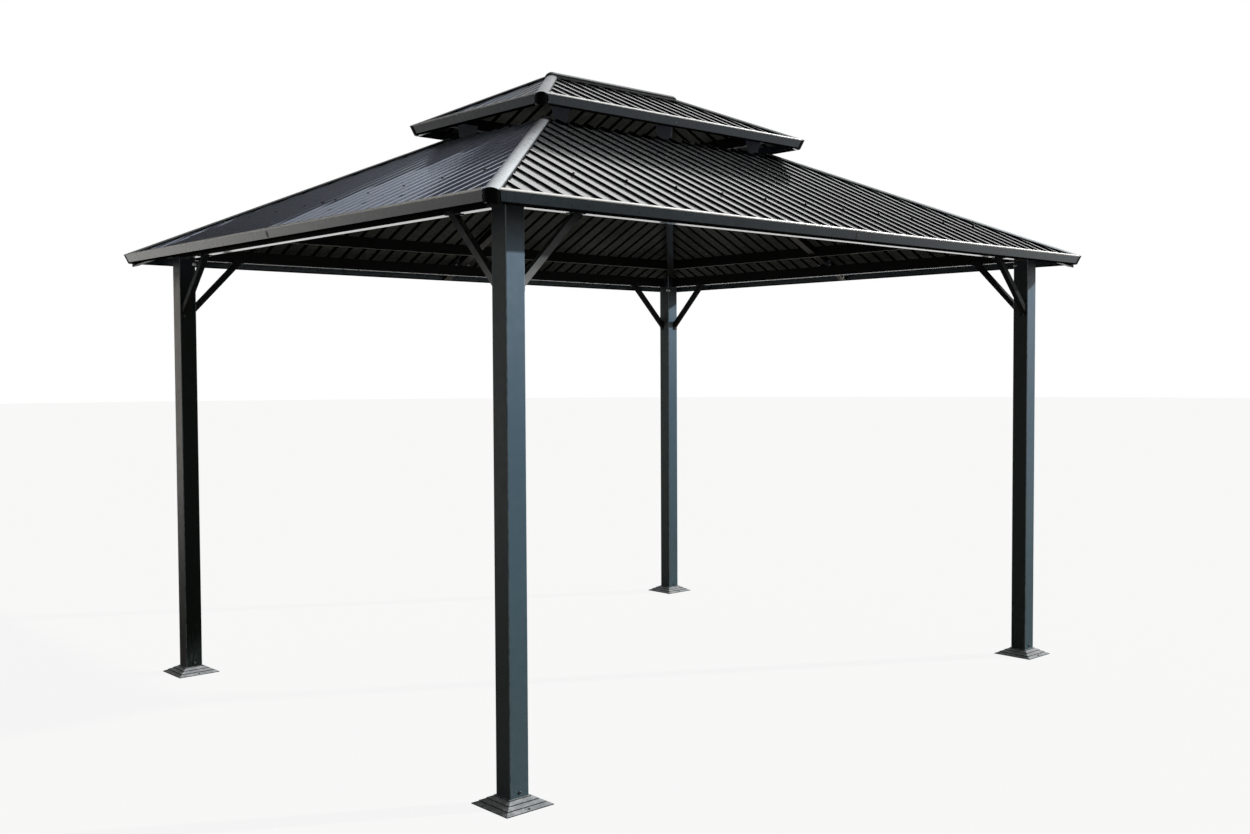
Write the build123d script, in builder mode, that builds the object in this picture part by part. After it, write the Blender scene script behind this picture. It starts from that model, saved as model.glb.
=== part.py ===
"""Square-post garden gazebo with a two-tier hipped roof of ribbed metal sheet.

Millimetres. +Z is up, X runs along the long side and Y along the short side.
The origin is on the ground, at the centre of the plan. Front is -Y, left is -X.
"""

import os
from math import atan, cos, hypot, radians, sin, sqrt, tan

from build123d import *

# ---------------------------------------------------------------- driving dimensions
# Posts and their feet
post_spacing_x = 3215.0
post_spacing_y = 2536.0
post_width = 78.0
post_wall = 1.8
post_corner = 4.0
foot_plate_side = 140.0
foot_plate_thickness = 6.0
anchor_spacing = 108.0
anchor_hole_radius = 5.5
cover_side = 195.0
cover_height = 32.0
cover_wall = 2.0
cover_tiers_high = 3
cover_step = 3.0
cover_ledge = 2.0
cover_collar_stand = 3.0

# Beams between the posts
beam_bottom = 1970.0
beam_height = 56.0
beam_width = 40.0
beam_wall = 1.8

# Knee braces
brace_reach = 236.0
brace_foot_height = 1728.0
brace_depth = 25.0
brace_width = 25.0
brace_tab_length = 36.0
brace_tab_thickness = 3.0
saddle_length = 50.0
saddle_lap = 17.0

# Eave trim, drawn as one folded section that leans outwards
eave_overhang_x = 217.0
eave_overhang_y = 196.0
eave_bottom = 1952.0
eave_trim_height = 38.0
eave_trim_lean = 14.0
eave_trim_depth = 34.0
eave_trim_wall = 1.5
eave_lip = 10.0
eave_bead_radius = 4.5
eave_hem_radius = 2.0
eave_splice_gap = 1.5

# Ribbed sheet
sheet_thickness = 1.0
rib_pitch = 85.0
rib_height = 7.0
rib_top_width = 13.0
rib_flank = 6.0
rib_offset_long_side = rib_pitch / 2
rib_offset_short_side = 0.0
hip_joint = 8.0

# Main roof and its frame
main_pitch_deg = 25.6
vent_half_y = 348.0
rafter_width = 40.0
rafter_depth = 45.0
side_rafter_width = 46.0
side_rafter_depth = 34.0
purlin_inset = 320.0
purlin_width = 34.0
purlin_height = 55.0
vent_bar_width = 30.0
vent_bar_height = 45.0

# Upper roof and its frame
upper_overhang_x = 111.5
upper_overhang_y = 120.0
upper_eave_bottom = 2538.0
upper_trim_height = 40.0
upper_trim_depth = 30.0
upper_pitch_deg = 24.7
ridge_half_length = 385.0
ring_bar_width = 30.0
ring_bar_height = 39.0
upper_rafter_width = 30.0
upper_rafter_depth = 35.0
ridge_beam_height = 45.0
strut_thickness = 4.0
strut_top_width = 120.0
strut_foot_width = 40.0

# Half-round caps over the hips and the ridge
cap_half_width = 29.0
cap_crown = 16.5
cap_wall = 1.2
ridge_cap_half_width = 34.0
ridge_cap_crown = 27.0

# Clearances
seat_gap = 0.3
slip_gap = 0.3
ledge_gap = 0.2

# Cutting shapes are made this many times as large as what they cut
cutter_share = 4

# ---------------------------------------------------------------- what follows from them
post_half_x = post_spacing_x / 2
post_half_y = post_spacing_y / 2
beam_top = beam_bottom + beam_height
beam_shift = (post_width - beam_width) / 2
tall = cutter_share * upper_eave_bottom

SIDES = {"front": 0, "right": 90, "back": 180, "left": 270}
CORNERS = {"front_left": (-1, -1), "front_right": (1, -1), "back_right": (1, 1), "back_left": (-1, 1)}


class Roof:
    """A hipped roof: its eave rectangle, its top rectangle and the underside of its sheets."""

    def __init__(self, half_x, half_y, top_x, top_y, eave_z, rise):
        self.half_x, self.half_y = half_x, half_y
        self.top_x, self.top_y = top_x, top_y
        self.eave_z, self.rise = eave_z, rise

    def run(self, side):
        """Plan distance from a side's eave to its top edge."""
        return self.half_y - self.top_y if side in ("front", "back") else self.half_x - self.top_x

    def slope(self, side):
        return self.rise / self.run(side)

    def eave_half(self, side):
        return self.half_x if side in ("front", "back") else self.half_y

    def top_half(self, side):
        return self.top_x if side in ("front", "back") else self.top_y

    def eave_distance(self, side):
        return self.half_y if side in ("front", "back") else self.half_x

    def along(self, side):
        angle = radians(SIDES[side])
        return Vector(cos(angle), sin(angle), 0)

    def inward(self, side):
        angle = radians(SIDES[side])
        return Vector(-sin(angle), cos(angle), 0)

    def plan_plane(self, side, height=0.0):
        """Plan of one side: x along the eave, y inwards from the eave's outer line."""
        origin = self.inward(side) * -self.eave_distance(side) + Vector(0, 0, height)
        return Plane(origin=origin, x_dir=self.along(side), z_dir=(0, 0, 1))

    def section_plane(self, side):
        """Cross section of one side: x inwards from the eave's outer line, y up from the ground."""
        origin = self.inward(side) * -self.eave_distance(side)
        return Plane(origin=origin, x_dir=self.inward(side), z_dir=self.along(side))

    def sheet_plane(self, side):
        """Across the slope at the eave: x against the eave, y out of the roof."""
        origin = self.inward(side) * -self.eave_distance(side) + Vector(0, 0, self.eave_z)
        upslope = self.inward(side) + Vector(0, 0, self.slope(side))
        return Plane(origin=origin, x_dir=-self.along(side), z_dir=upslope)

    def under(self, side, inset):
        """Height of the sheet's underside at a plan distance in from the eave's outer line."""
        return self.eave_z + self.slope(side) * inset

    def region(self, side, gap, start=0.0, stop=None):
        """Plan outline of one side between its hips, kept a gap away from each hip line."""
        run = self.run(side)
        stop = run if stop is None else stop
        eave, top = self.eave_half(side), self.top_half(side)
        shrink = (eave - top) / run
        shift = gap * sqrt(1 + shrink**2)
        stop = min(stop, (eave - shift) / shrink)
        near, far = eave - shift - shrink * start, eave - shift - shrink * stop
        points = [(-near, start), (near, start), (far, stop), (-far, stop)]
        return points if far > seat_gap else points[:2] + [(0, stop)]

    # Hips
    def hip(self, corner):
        """Plan unit vector up a hip, its plan length and the unit vector across it."""
        sign_x, sign_y = CORNERS[corner]
        along = Vector(-sign_x * (self.half_x - self.top_x), -sign_y * (self.half_y - self.top_y), 0)
        unit = along.normalized()
        return unit, along.length, Vector(-unit.Y, unit.X, 0)

    def hip_corner(self, corner, height):
        sign_x, sign_y = CORNERS[corner]
        return Vector(sign_x * self.half_x, sign_y * self.half_y, height)

    def hip_plane(self, corner):
        """Across a hip at the eave corner: x level, y out of the roof, z up the hip."""
        unit, length, across = self.hip(corner)
        upward = unit + Vector(0, 0, self.rise / length)
        return Plane(origin=self.hip_corner(corner, self.eave_z), x_dir=across, z_dir=upward)

    def hip_seat(self, corner, offset, lift=0.0):
        """Height, in the hip plane, of a layer of the sheets at a distance across the hip."""
        unit, length, across = self.hip(corner)
        angle = atan(self.rise / length)
        heights = []
        for side in SIDES:
            inward, slope = self.inward(side), self.slope(side)
            if inward.dot(unit) > 0 and inward.dot(across) * offset < 0:
                heights.append(slope * offset * inward.dot(across) + lift * sqrt(1 + slope**2))
        return cos(angle) * min(heights)


def sheet_drop(slope):
    """Height of a trim's top above the sheet's underside: the lip laps the ribs."""
    return eave_trim_wall + eave_lip * slope + rib_top * sqrt(1 + slope**2) + seat_gap


rib_top = sheet_thickness + rib_height
eave_half_x = post_half_x + eave_overhang_x
eave_half_y = post_half_y + eave_overhang_y
main_run = eave_half_y - vent_half_y
main_rise = main_run * tan(radians(main_pitch_deg))
main_drop = sheet_drop(main_rise / main_run)
upper_half_x = eave_half_x - main_run + vent_bar_width + upper_overhang_x
upper_half_y = vent_half_y + vent_bar_width + upper_overhang_y
upper_rise = upper_half_y * tan(radians(upper_pitch_deg))
upper_drop = sheet_drop(upper_rise / min(upper_half_y, upper_half_x - ridge_half_length))
main = Roof(
    half_x=eave_half_x,
    half_y=eave_half_y,
    top_x=eave_half_x - main_run,
    top_y=vent_half_y,
    eave_z=eave_bottom + eave_trim_height - main_drop,
    rise=main_rise,
)
upper = Roof(
    half_x=upper_half_x,
    half_y=upper_half_y,
    top_x=ridge_half_length,
    top_y=0.0,
    eave_z=upper_eave_bottom + upper_trim_height - upper_drop,
    rise=upper_rise,
)


def save(piece, label):
    """Name a finished piece and write its STEP file."""
    piece.label = label
    export_step(piece, f"parts/{label}.step")


def gather(pieces):
    """Finished solids that share one name, held together as one piece."""
    with BuildPart() as group:
        for piece in pieces:
            add(piece)
    return group.part


# ---------------------------------------------------------------- posts and feet
def rafter_floor_plane(corner):
    """The plane on which a main hip rafter lies over its post."""
    plane = main.hip_plane(corner)
    top = main.hip_seat(corner, rafter_width / 2) - seat_gap
    return Plane(origin=plane.origin + plane.y_dir * (top - rafter_depth), z_dir=plane.y_dir)


def make_post(corner):
    sign_x, sign_y = CORNERS[corner]
    foot = Plane((sign_x * post_half_x, sign_y * post_half_y, 0))
    with BuildPart() as post:
        with BuildSketch(foot):
            Rectangle(foot_plate_side, foot_plate_side)
            with GridLocations(anchor_spacing, anchor_spacing, 2, 2):
                Circle(anchor_hole_radius, mode=Mode.SUBTRACT)
        extrude(amount=foot_plate_thickness)
        with BuildSketch(foot.offset(foot_plate_thickness)):
            bore = post_width - 2 * post_wall
            RectangleRounded(post_width, post_width, post_corner)
            RectangleRounded(bore, bore, post_corner - post_wall, mode=Mode.SUBTRACT)
        extrude(amount=beam_top + post_width - foot_plate_thickness)
        split(bisect_by=rafter_floor_plane(corner), keep=Keep.BOTTOM)
    return post.part


def cover_tiers(shrink):
    """Side at the bottom, side at the top, bottom and top height of each slice of a base cover."""
    collar = post_width + 2 * (slip_gap + cover_wall + cover_collar_stand)
    stride = (cover_side - collar) / cover_tiers_high
    lift = (cover_height - cover_step) / cover_tiers_high
    slices = []
    for tier in range(cover_tiers_high):
        wide, low = cover_side - tier * stride, tier * lift
        narrow = wide - stride + 2 * cover_ledge
        slices += [(wide, wide, low, low + cover_step), (wide, narrow, low + cover_step, low + lift)]
    slices.append((collar, collar, cover_height - cover_step, cover_height))
    return [(a - 2 * shrink, b - 2 * shrink, low, high) for a, b, low, high in slices]


def make_base_covers():
    with BuildPart() as covers:
        for sign_x, sign_y in CORNERS.values():
            foot = Plane((sign_x * post_half_x, sign_y * post_half_y, 0))
            for wide, narrow, low, high in cover_tiers(0):
                with BuildSketch(foot.offset(low)):
                    Rectangle(wide, wide)
                with BuildSketch(foot.offset(high)):
                    Rectangle(narrow, narrow)
                loft()
        for sign_x, sign_y in CORNERS.values():
            foot = Plane((sign_x * post_half_x, sign_y * post_half_y, 0))
            for wide, narrow, low, high in cover_tiers(cover_wall)[:-1]:
                with BuildSketch(foot.offset(max(low - cover_wall, 0))):
                    Rectangle(wide, wide)
                with BuildSketch(foot.offset(high - cover_wall)):
                    Rectangle(narrow, narrow)
                loft(mode=Mode.SUBTRACT)
            with BuildSketch(foot):
                Rectangle(post_width + 2 * slip_gap, post_width + 2 * slip_gap)
            extrude(amount=cover_height, mode=Mode.SUBTRACT)
    return covers.part


# ---------------------------------------------------------------- beams
def beam_length(side):
    return (post_spacing_x if side in ("front", "back") else post_spacing_y) - post_width


def beam_offset(side):
    """Distance of a beam from the middle of the plan: its outer face is flush with the posts."""
    return (post_half_y if side in ("front", "back") else post_half_x) + beam_shift


def beam_end_plane(side):
    """Section across a beam at the face of the post where it starts: x inwards, y up."""
    origin = main.inward(side) * -beam_offset(side) - main.along(side) * (beam_length(side) / 2)
    return Plane(origin=origin, x_dir=main.inward(side), z_dir=main.along(side))


def make_beam(side):
    middle = beam_bottom + beam_height / 2
    with BuildPart() as beam:
        with BuildSketch(beam_end_plane(side)):
            with Locations((0, middle)):
                RectangleRounded(beam_width, beam_height, beam_wall)
                Rectangle(beam_width - 2 * beam_wall, beam_height - 2 * beam_wall, mode=Mode.SUBTRACT)
        extrude(amount=beam_length(side))
    return beam.part


# ---------------------------------------------------------------- knee braces
def brace_plane(corner, along_x):
    """Upright plane through a beam, from its post's centre line: x towards the middle, y up."""
    sign_x, sign_y = CORNERS[corner]
    inward = Vector(-sign_x, 0, 0) if along_x else Vector(0, -sign_y, 0)
    outward = Vector(0, sign_y, 0) if along_x else Vector(sign_x, 0, 0)
    origin = Vector(sign_x * post_half_x, sign_y * post_half_y, 0) + outward * beam_shift
    return Plane(origin=origin, x_dir=inward, z_dir=inward.cross(Vector(0, 0, 1)))


def make_knee_braces(corner):
    """The two braces of one post, each a bar with a foot tab and a saddle round the beam."""
    face = post_width / 2
    tab_face = face + brace_tab_thickness
    seat = beam_bottom - brace_tab_thickness
    low = brace_foot_height
    rise_x = brace_reach - brace_tab_thickness
    diagonal = hypot(rise_x, seat - low)
    half_x = brace_depth / 2 * diagonal / (seat - low)
    half_z = brace_depth / 2 * diagonal / rise_x
    cheek = beam_width / 2 + slip_gap
    with BuildPart() as braces:
        for along_x in (True, False):
            plane = brace_plane(corner, along_x)
            with BuildSketch(plane):
                with BuildLine():
                    Polyline(
                        (tab_face, low - half_z),
                        (tab_face + rise_x + half_x, seat),
                        (tab_face + rise_x - half_x, seat),
                        (tab_face, low + half_z),
                        close=True,
                    )
                make_face()
            extrude(amount=brace_width / 2, both=True)
            with BuildSketch(plane):
                with Locations((face + brace_tab_thickness / 2, low - half_z / 4)):
                    Rectangle(brace_tab_thickness, brace_tab_length + half_z)
            extrude(amount=brace_width / 2 + brace_tab_thickness, both=True)
            with BuildSketch(plane):
                with Locations((tab_face + rise_x, seat + brace_tab_thickness / 2)):
                    Rectangle(saddle_length, brace_tab_thickness)
            extrude(amount=cheek + brace_tab_thickness, both=True)
            for sign in (-1, 1):
                with BuildSketch(plane.offset(sign * (cheek + brace_tab_thickness / 2))):
                    with Locations((tab_face + rise_x, seat + (saddle_lap + brace_tab_thickness) / 2)):
                        Rectangle(saddle_length, saddle_lap + brace_tab_thickness)
                extrude(amount=brace_tab_thickness / 2, both=True)
    return braces.part


# ---------------------------------------------------------------- main roof frame
def inner_rectangle(roof, depth):
    return 2 * (roof.half_x - depth), 2 * (roof.half_y - depth)


def make_hip_rafter(corner):
    """A hip rafter from the eave trim's inner corner, over the post, to the vent frame."""
    plane = main.hip_plane(corner)
    top = main.hip_seat(corner, rafter_width / 2) - seat_gap
    length = hypot(main.half_x, main.half_y) + main.rise
    with BuildPart() as rafter:
        with BuildSketch(plane):
            with Locations((0, top - rafter_depth / 2)):
                Rectangle(rafter_width, rafter_depth)
        extrude(amount=length)
        with BuildSketch(Plane.XY):
            Rectangle(*inner_rectangle(main, eave_trim_depth))
            Rectangle(
                2 * (main.top_x + vent_bar_width), 2 * (main.top_y + vent_bar_width), mode=Mode.SUBTRACT
            )
        extrude(amount=tall, mode=Mode.INTERSECT)
        with BuildSketch(Plane.XY):
            sign_x, sign_y = CORNERS[corner]
            with Locations((sign_x * main.half_x / 2, sign_y * main.half_y / 2)):
                Rectangle(main.half_x, main.half_y)
        extrude(amount=tall, mode=Mode.INTERSECT)
        for side in SIDES:
            with BuildSketch(beam_end_plane(side)):
                with Locations((0, beam_bottom + beam_height / 2)):
                    Rectangle(beam_width, beam_height)
            extrude(amount=beam_length(side), mode=Mode.SUBTRACT)
    return rafter.part


def sloped_bar(roof, side, start, width, bottom, gap, drop):
    """A level bar of one side whose top lies under the sheet, cut at the hips."""
    with BuildPart() as bar:
        with BuildSketch(roof.section_plane(side)):
            with BuildLine():
                Polyline(
                    (start, bottom),
                    (start + width, bottom),
                    (start + width, roof.under(side, start + width) - drop),
                    (start, roof.under(side, start) - drop),
                    close=True,
                )
            make_face()
        extrude(amount=roof.eave_half(side), both=True)
        with BuildSketch(roof.plan_plane(side)):
            with BuildLine():
                Polyline(*roof.region(side, gap), close=True)
            make_face()
        extrude(amount=tall, mode=Mode.INTERSECT)
    return bar.part


purlin_start = purlin_inset - purlin_width


def purlin_bottom(side):
    return main.under(side, purlin_inset) - purlin_height


def make_purlins():
    gap = rafter_width / 2
    bars = [
        sloped_bar(main, s, purlin_start, purlin_width, purlin_bottom(s), gap, seat_gap) for s in SIDES
    ]
    return gather(bars)


def make_vent_frame():
    start = main_run
    bars = []
    for side in SIDES:
        bottom = main.under(side, start) - vent_bar_height
        bars.append(
            sloped_bar(main, side, start - vent_bar_width, vent_bar_width, bottom, slip_gap / 2, seat_gap)
        )
    return gather(bars)


def side_rafter_piece(side, start, stop):
    """One length of a side rafter between two plan distances in from the eave."""
    depth = side_rafter_depth * sqrt(1 + main.slope(side) ** 2)
    with BuildPart() as piece:
        with BuildSketch(main.section_plane(side)):
            with BuildLine():
                Polyline(
                    (start, main.under(side, start) - seat_gap - depth),
                    (stop, main.under(side, stop) - seat_gap - depth),
                    (stop, main.under(side, stop) - seat_gap),
                    (start, main.under(side, start) - seat_gap),
                    close=True,
                )
            make_face()
        extrude(amount=side_rafter_width / 2, both=True)
        beam_inset = main.eave_distance(side) - beam_offset(side)
        with BuildSketch(main.section_plane(side)):
            with Locations((beam_inset, beam_bottom + beam_height / 2)):
                Rectangle(beam_width, beam_height)
        extrude(amount=side_rafter_width, both=True, mode=Mode.SUBTRACT)
    return piece.part


def make_side_rafters():
    """At the middle of each side: a length outside the purlin and a length above it."""
    pieces = []
    for side in SIDES:
        pieces.append(side_rafter_piece(side, eave_trim_depth, purlin_start))
        pieces.append(side_rafter_piece(side, purlin_inset, main_run - vent_bar_width))
    return gather(pieces)


# ---------------------------------------------------------------- ribbed sheets
def rib_offset(side):
    """Distance of the first rib from the middle of a side."""
    return rib_offset_long_side if side in ("front", "back") else rib_offset_short_side


def rib_outline(half_length, offset):
    """Corrugated cross section: pans on the x axis, ribs standing up at an even pitch."""
    slant = rib_flank / rib_height
    thick = sheet_thickness * sqrt(1 + slant**2)
    base = rib_top_width / 2 + rib_flank
    inner_base = base + sheet_thickness * slant - thick
    inner_top = rib_top_width / 2 + sheet_thickness * slant - thick
    first = -int((half_length - base + offset) // rib_pitch)
    last = int((half_length - base - offset) // rib_pitch)
    upper_line, lower_line = [], []
    for index in range(first, last + 1):
        centre = index * rib_pitch + offset
        upper_line += [
            (centre - base, sheet_thickness),
            (centre - rib_top_width / 2, rib_top),
            (centre + rib_top_width / 2, rib_top),
            (centre + base, sheet_thickness),
        ]
        lower_line += [
            (centre - inner_base, 0),
            (centre - inner_top, rib_height),
            (centre + inner_top, rib_height),
            (centre + inner_base, 0),
        ]
    left = [(-half_length, 0), (-half_length, sheet_thickness)]
    right = [(half_length, sheet_thickness), (half_length, 0)]
    return left + upper_line + right + lower_line[::-1]


def trim_back(height, drop):
    """Plan distance from the eave's outer line to the back of the trim's leaning face."""
    return eave_trim_lean * drop / height + eave_trim_wall


def make_panel(roof, side, start, gap):
    """One side's ribbed sheet, its ribs running up the slope, cut along the hips."""
    with BuildPart() as panel:
        with BuildSketch(roof.sheet_plane(side)):
            with BuildLine():
                Polyline(*rib_outline(roof.eave_half(side), rib_offset(side)), close=True)
            make_face()
        extrude(amount=hypot(roof.run(side), roof.rise) + rib_top)
        stop = roof.run(side) - (gap if roof.top_y == 0 and side in ("front", "back") else 0)
        with BuildSketch(roof.plan_plane(side)):
            with BuildLine():
                Polyline(*roof.region(side, gap, start=start, stop=stop), close=True)
            make_face()
        extrude(amount=tall, mode=Mode.INTERSECT)
        depth = eave_trim_depth if roof is main else upper_trim_depth
        back = nose_back(depth) + slip_gap
        for corner in CORNERS:
            with BuildSketch(corner_plane(roof, corner)):
                Rectangle(2 * (cap_half_width + slip_gap), 2 * back)
            extrude(amount=tall, mode=Mode.SUBTRACT)
    return panel.part


# ---------------------------------------------------------------- eave trims
def trim_outline(roof, side, bottom, height, depth):
    """Folded trim: a leaning face with a lip on top and a ledge that follows the sheet."""
    wall = eave_trim_wall
    top = bottom + height
    shelf_x = trim_back(height, top - roof.eave_z)
    shelf_z = roof.under(side, shelf_x) - ledge_gap
    return [
        (eave_trim_lean, bottom),
        (0, top),
        (eave_lip, top),
        (eave_lip, top - wall),
        (trim_back(height, wall), top - wall),
        (shelf_x, shelf_z),
        (depth, roof.under(side, depth) - ledge_gap),
        (depth, bottom),
    ]


def make_trim(roof, side, bottom, height, depth, splice):
    """One side's eave trim with its bead and hem, stopped at the corner pieces, spliced at need."""
    with BuildPart() as trim:
        with BuildSketch(roof.section_plane(side)):
            with BuildLine():
                Polyline(*trim_outline(roof, side, bottom, height, depth), close=True)
            make_face()
            with Locations((eave_bead_radius, bottom + height + eave_bead_radius - eave_trim_wall)):
                Circle(eave_bead_radius)
            with Locations((eave_trim_lean, bottom + eave_hem_radius)):
                Circle(eave_hem_radius)
        extrude(amount=roof.eave_half(side), both=True)
        hollow_top = roof.under(side, eave_trim_lean + eave_trim_wall) - ledge_gap - eave_trim_wall
        with BuildSketch(roof.section_plane(side)):
            with BuildLine():
                Polyline(
                    (eave_trim_lean + eave_trim_wall, bottom + eave_trim_wall),
                    (depth - eave_trim_wall, bottom + eave_trim_wall),
                    (depth - eave_trim_wall, hollow_top),
                    (eave_trim_lean + eave_trim_wall, hollow_top),
                    close=True,
                )
            make_face()
        extrude(amount=roof.eave_half(side), both=True, mode=Mode.SUBTRACT)
        with BuildSketch(roof.plan_plane(side)):
            with BuildLine():
                Polyline(*roof.region(side, cap_half_width + slip_gap), close=True)
            make_face()
        extrude(amount=tall, mode=Mode.INTERSECT)
        if splice:
            with BuildSketch(roof.plan_plane(side)):
                Rectangle(eave_splice_gap, cutter_share * depth)
            extrude(amount=tall, mode=Mode.SUBTRACT)
    return trim.part


# ---------------------------------------------------------------- hip and ridge caps
def arch_curve(half_width, left, right, crown):
    """The outer arc of a half-round strip, from its left foot over the crown."""
    return ThreePointArc((-half_width, left), (0, crown), (half_width, right))


def arch_outline(half_width, left, right, crown):
    """The half-round strip's section as a closed line of two arcs and two feet."""
    outer = arch_curve(half_width, left, right, crown)
    inner = arch_curve(half_width - cap_wall, left, right, crown - cap_wall)
    Line(outer @ 0, inner @ 0)
    Line(outer @ 1, inner @ 1)


def hip_cap_feet(roof, corner):
    """Height of each foot of a hip cap, on the tops of the ribs."""
    inner_edge = cap_half_width - cap_wall
    left = roof.hip_seat(corner, -inner_edge, rib_top) + seat_gap
    right = roof.hip_seat(corner, inner_edge, rib_top) + seat_gap
    return left, right


def corner_plane(roof, corner, height=0.0):
    """Level plane at an eave corner: y runs in along the hip."""
    unit, length, across = roof.hip(corner)
    return Plane(origin=roof.hip_corner(corner, height), x_dir=-across, z_dir=(0, 0, 1))


def nose_back(depth):
    """Plan distance up the hip to the back of a corner piece."""
    return depth * sqrt(2) - slip_gap


def ridge_dome(swell):
    """The filled dome over one end of the ridge, swollen by a clearance."""
    foot = dome_foot() - cutter_share * cap_half_width
    half, crown = ridge_cap_half_width + swell, ridge_cap_crown + swell
    with BuildPart() as dome:
        for sign in (-1, 1):
            origin = (sign * upper.top_x, 0, upper.under("front", upper.half_y))
            with BuildSketch(Plane(origin=origin, x_dir=(1, 0, 0), z_dir=(0, -1, 0))):
                with BuildLine():
                    arc = arch_curve(half, dome_foot(), dome_foot(), crown)
                    Line(arc @ 1, (half, foot))
                    Line((half, foot), (-half, foot))
                    Line((-half, foot), arc @ 0)
                make_face()
                with Locations((-half / 2, 0)):
                    Rectangle(half, cutter_share * crown - 2 * foot, mode=Mode.SUBTRACT)
            revolve(axis=Axis(origin, (0, 0, 1)))
    return dome.part


def make_hip_cap(roof, corner, bottom, height, depth):
    """A half-round hip cap ending at the eave in an upright rounded corner piece."""
    unit, length, across = roof.hip(corner)
    plane = roof.hip_plane(corner)
    left, right = hip_cap_feet(roof, corner)
    centre = cap_half_width * sqrt(2)
    top = bottom + height
    deep = -cutter_share * height
    lean = unit * (-eave_trim_lean * sqrt(2)) + Vector(0, 0, height)
    nose = corner_plane(roof, corner, top)
    nose.origin = nose.origin - lean
    with BuildPart() as cap:
        with BuildSketch(nose):
            with Locations((0, centre)):
                Circle(cap_half_width)
            with Locations((0, (centre + nose_back(depth)) / 2)):
                Rectangle(2 * cap_half_width, nose_back(depth) - centre)
        extrude(amount=2 * lean.length, dir=lean.normalized())
        with BuildSketch(corner_plane(roof, corner)):
            Rectangle(cutter_share * cap_half_width, 2 * nose_back(depth))
        extrude(amount=tall, mode=Mode.INTERSECT)
        with BuildSketch(plane):
            with BuildLine():
                arc = arch_curve(cap_half_width, left, right, cap_crown)
                Line(arc @ 1, (cap_half_width, deep))
                Line((cap_half_width, deep), (-cap_half_width, deep))
                Line((-cap_half_width, deep), arc @ 0)
            make_face()
        extrude(amount=cutter_share * cap_half_width, both=True, mode=Mode.INTERSECT)
        with BuildSketch(plane.offset(centre)):
            with BuildLine():
                arch_outline(cap_half_width, left, right, cap_crown)
            make_face()
        extrude(amount=hypot(length, roof.rise) - centre)
    return cap.part


def make_upper_hip_caps():
    """The upper roof's four hip caps, each stopped at the ridge cap's dome."""
    dome = ridge_dome(slip_gap)
    caps = []
    for corner, (sign_x, sign_y) in CORNERS.items():
        with BuildPart() as cap:
            add(make_hip_cap(upper, corner, upper_eave_bottom, upper_trim_height, upper_trim_depth))
            with BuildSketch(Plane.XY):
                reach_x, reach_y = 2 * upper.half_x, 2 * upper.half_y
                inset = slip_gap / 2
                centre = (upper.top_x + inset + reach_x / 2, inset + reach_y / 2)
                with Locations((sign_x * centre[0], sign_y * centre[1])):
                    Rectangle(reach_x, reach_y)
            extrude(amount=tall, mode=Mode.INTERSECT)
            add(dome, mode=Mode.SUBTRACT)
        caps.append(cap.part)
    return gather(caps)


def ridge_foot():
    """Height of the ridge cap's feet above the ridge line of the sheets' undersides."""
    slope = upper.slope("front")
    return -slope * (ridge_cap_half_width - cap_wall) + rib_top * sqrt(1 + slope**2) + seat_gap


def dome_foot():
    """The same height at the ends of the ridge, where the hips stand higher."""
    slope = upper.slope("front")
    hip_slope = upper.rise / hypot(upper.half_x - upper.top_x, upper.half_y)
    return -hip_slope * (ridge_cap_half_width - cap_wall) + rib_top * sqrt(1 + slope**2) + seat_gap


def ridge_outline():
    """The ridge strip's section: the dome's arch on upright legs that reach down to the ribs."""
    outer, inner = ridge_cap_half_width, ridge_cap_half_width - cap_wall
    arch, foot = dome_foot(), ridge_foot()
    arch_curve(outer, arch, arch, ridge_cap_crown)
    Polyline((outer, arch), (outer, foot), (inner, foot), (inner, arch))
    arch_curve(inner, arch, arch, ridge_cap_crown - cap_wall)
    Polyline((-outer, arch), (-outer, foot), (-inner, foot), (-inner, arch))


def make_ridge_cap():
    """The strip along the ridge and the half dome that closes each end."""
    ridge = upper.under("front", upper.half_y)
    with BuildPart() as cap:
        with BuildSketch(Plane(origin=(0, 0, ridge), x_dir=(0, 1, 0), z_dir=(1, 0, 0))):
            with BuildLine():
                ridge_outline()
            make_face()
        extrude(amount=upper.top_x, both=True)
        for sign in (-1, 1):
            origin = (sign * upper.top_x, 0, ridge)
            with BuildSketch(Plane(origin=origin, x_dir=(0, -sign, 0), z_dir=(-sign, 0, 0))):
                with BuildLine():
                    arch_outline(ridge_cap_half_width, dome_foot(), dome_foot(), ridge_cap_crown)
                make_face()
                with Locations((-ridge_cap_half_width / 2, 0)):
                    Rectangle(ridge_cap_half_width, cutter_share * ridge_cap_crown, mode=Mode.SUBTRACT)
            revolve(axis=Axis(origin, (0, 0, 1)), revolution_arc=180)
    return cap.part


# ---------------------------------------------------------------- upper roof frame
def ring_side_start(side):
    return upper.eave_distance(side) - vent_outer(side)


def vent_outer(side):
    """Distance of the vent frame's outer face from the middle of the plan."""
    return (main.top_y if side in ("front", "back") else main.top_x) + vent_bar_width


def ring_bottom(side):
    return upper.under(side, ring_side_start(side)) - ring_bar_height


def make_upper_ring():
    """The frame above the vent, between the upper roof's hip rafters."""
    gap = upper_rafter_width / 2
    bars = [
        sloped_bar(upper, s, ring_side_start(s), ring_bar_width, ring_bottom(s), gap, seat_gap)
        for s in SIDES
    ]
    return gather(bars)


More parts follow.
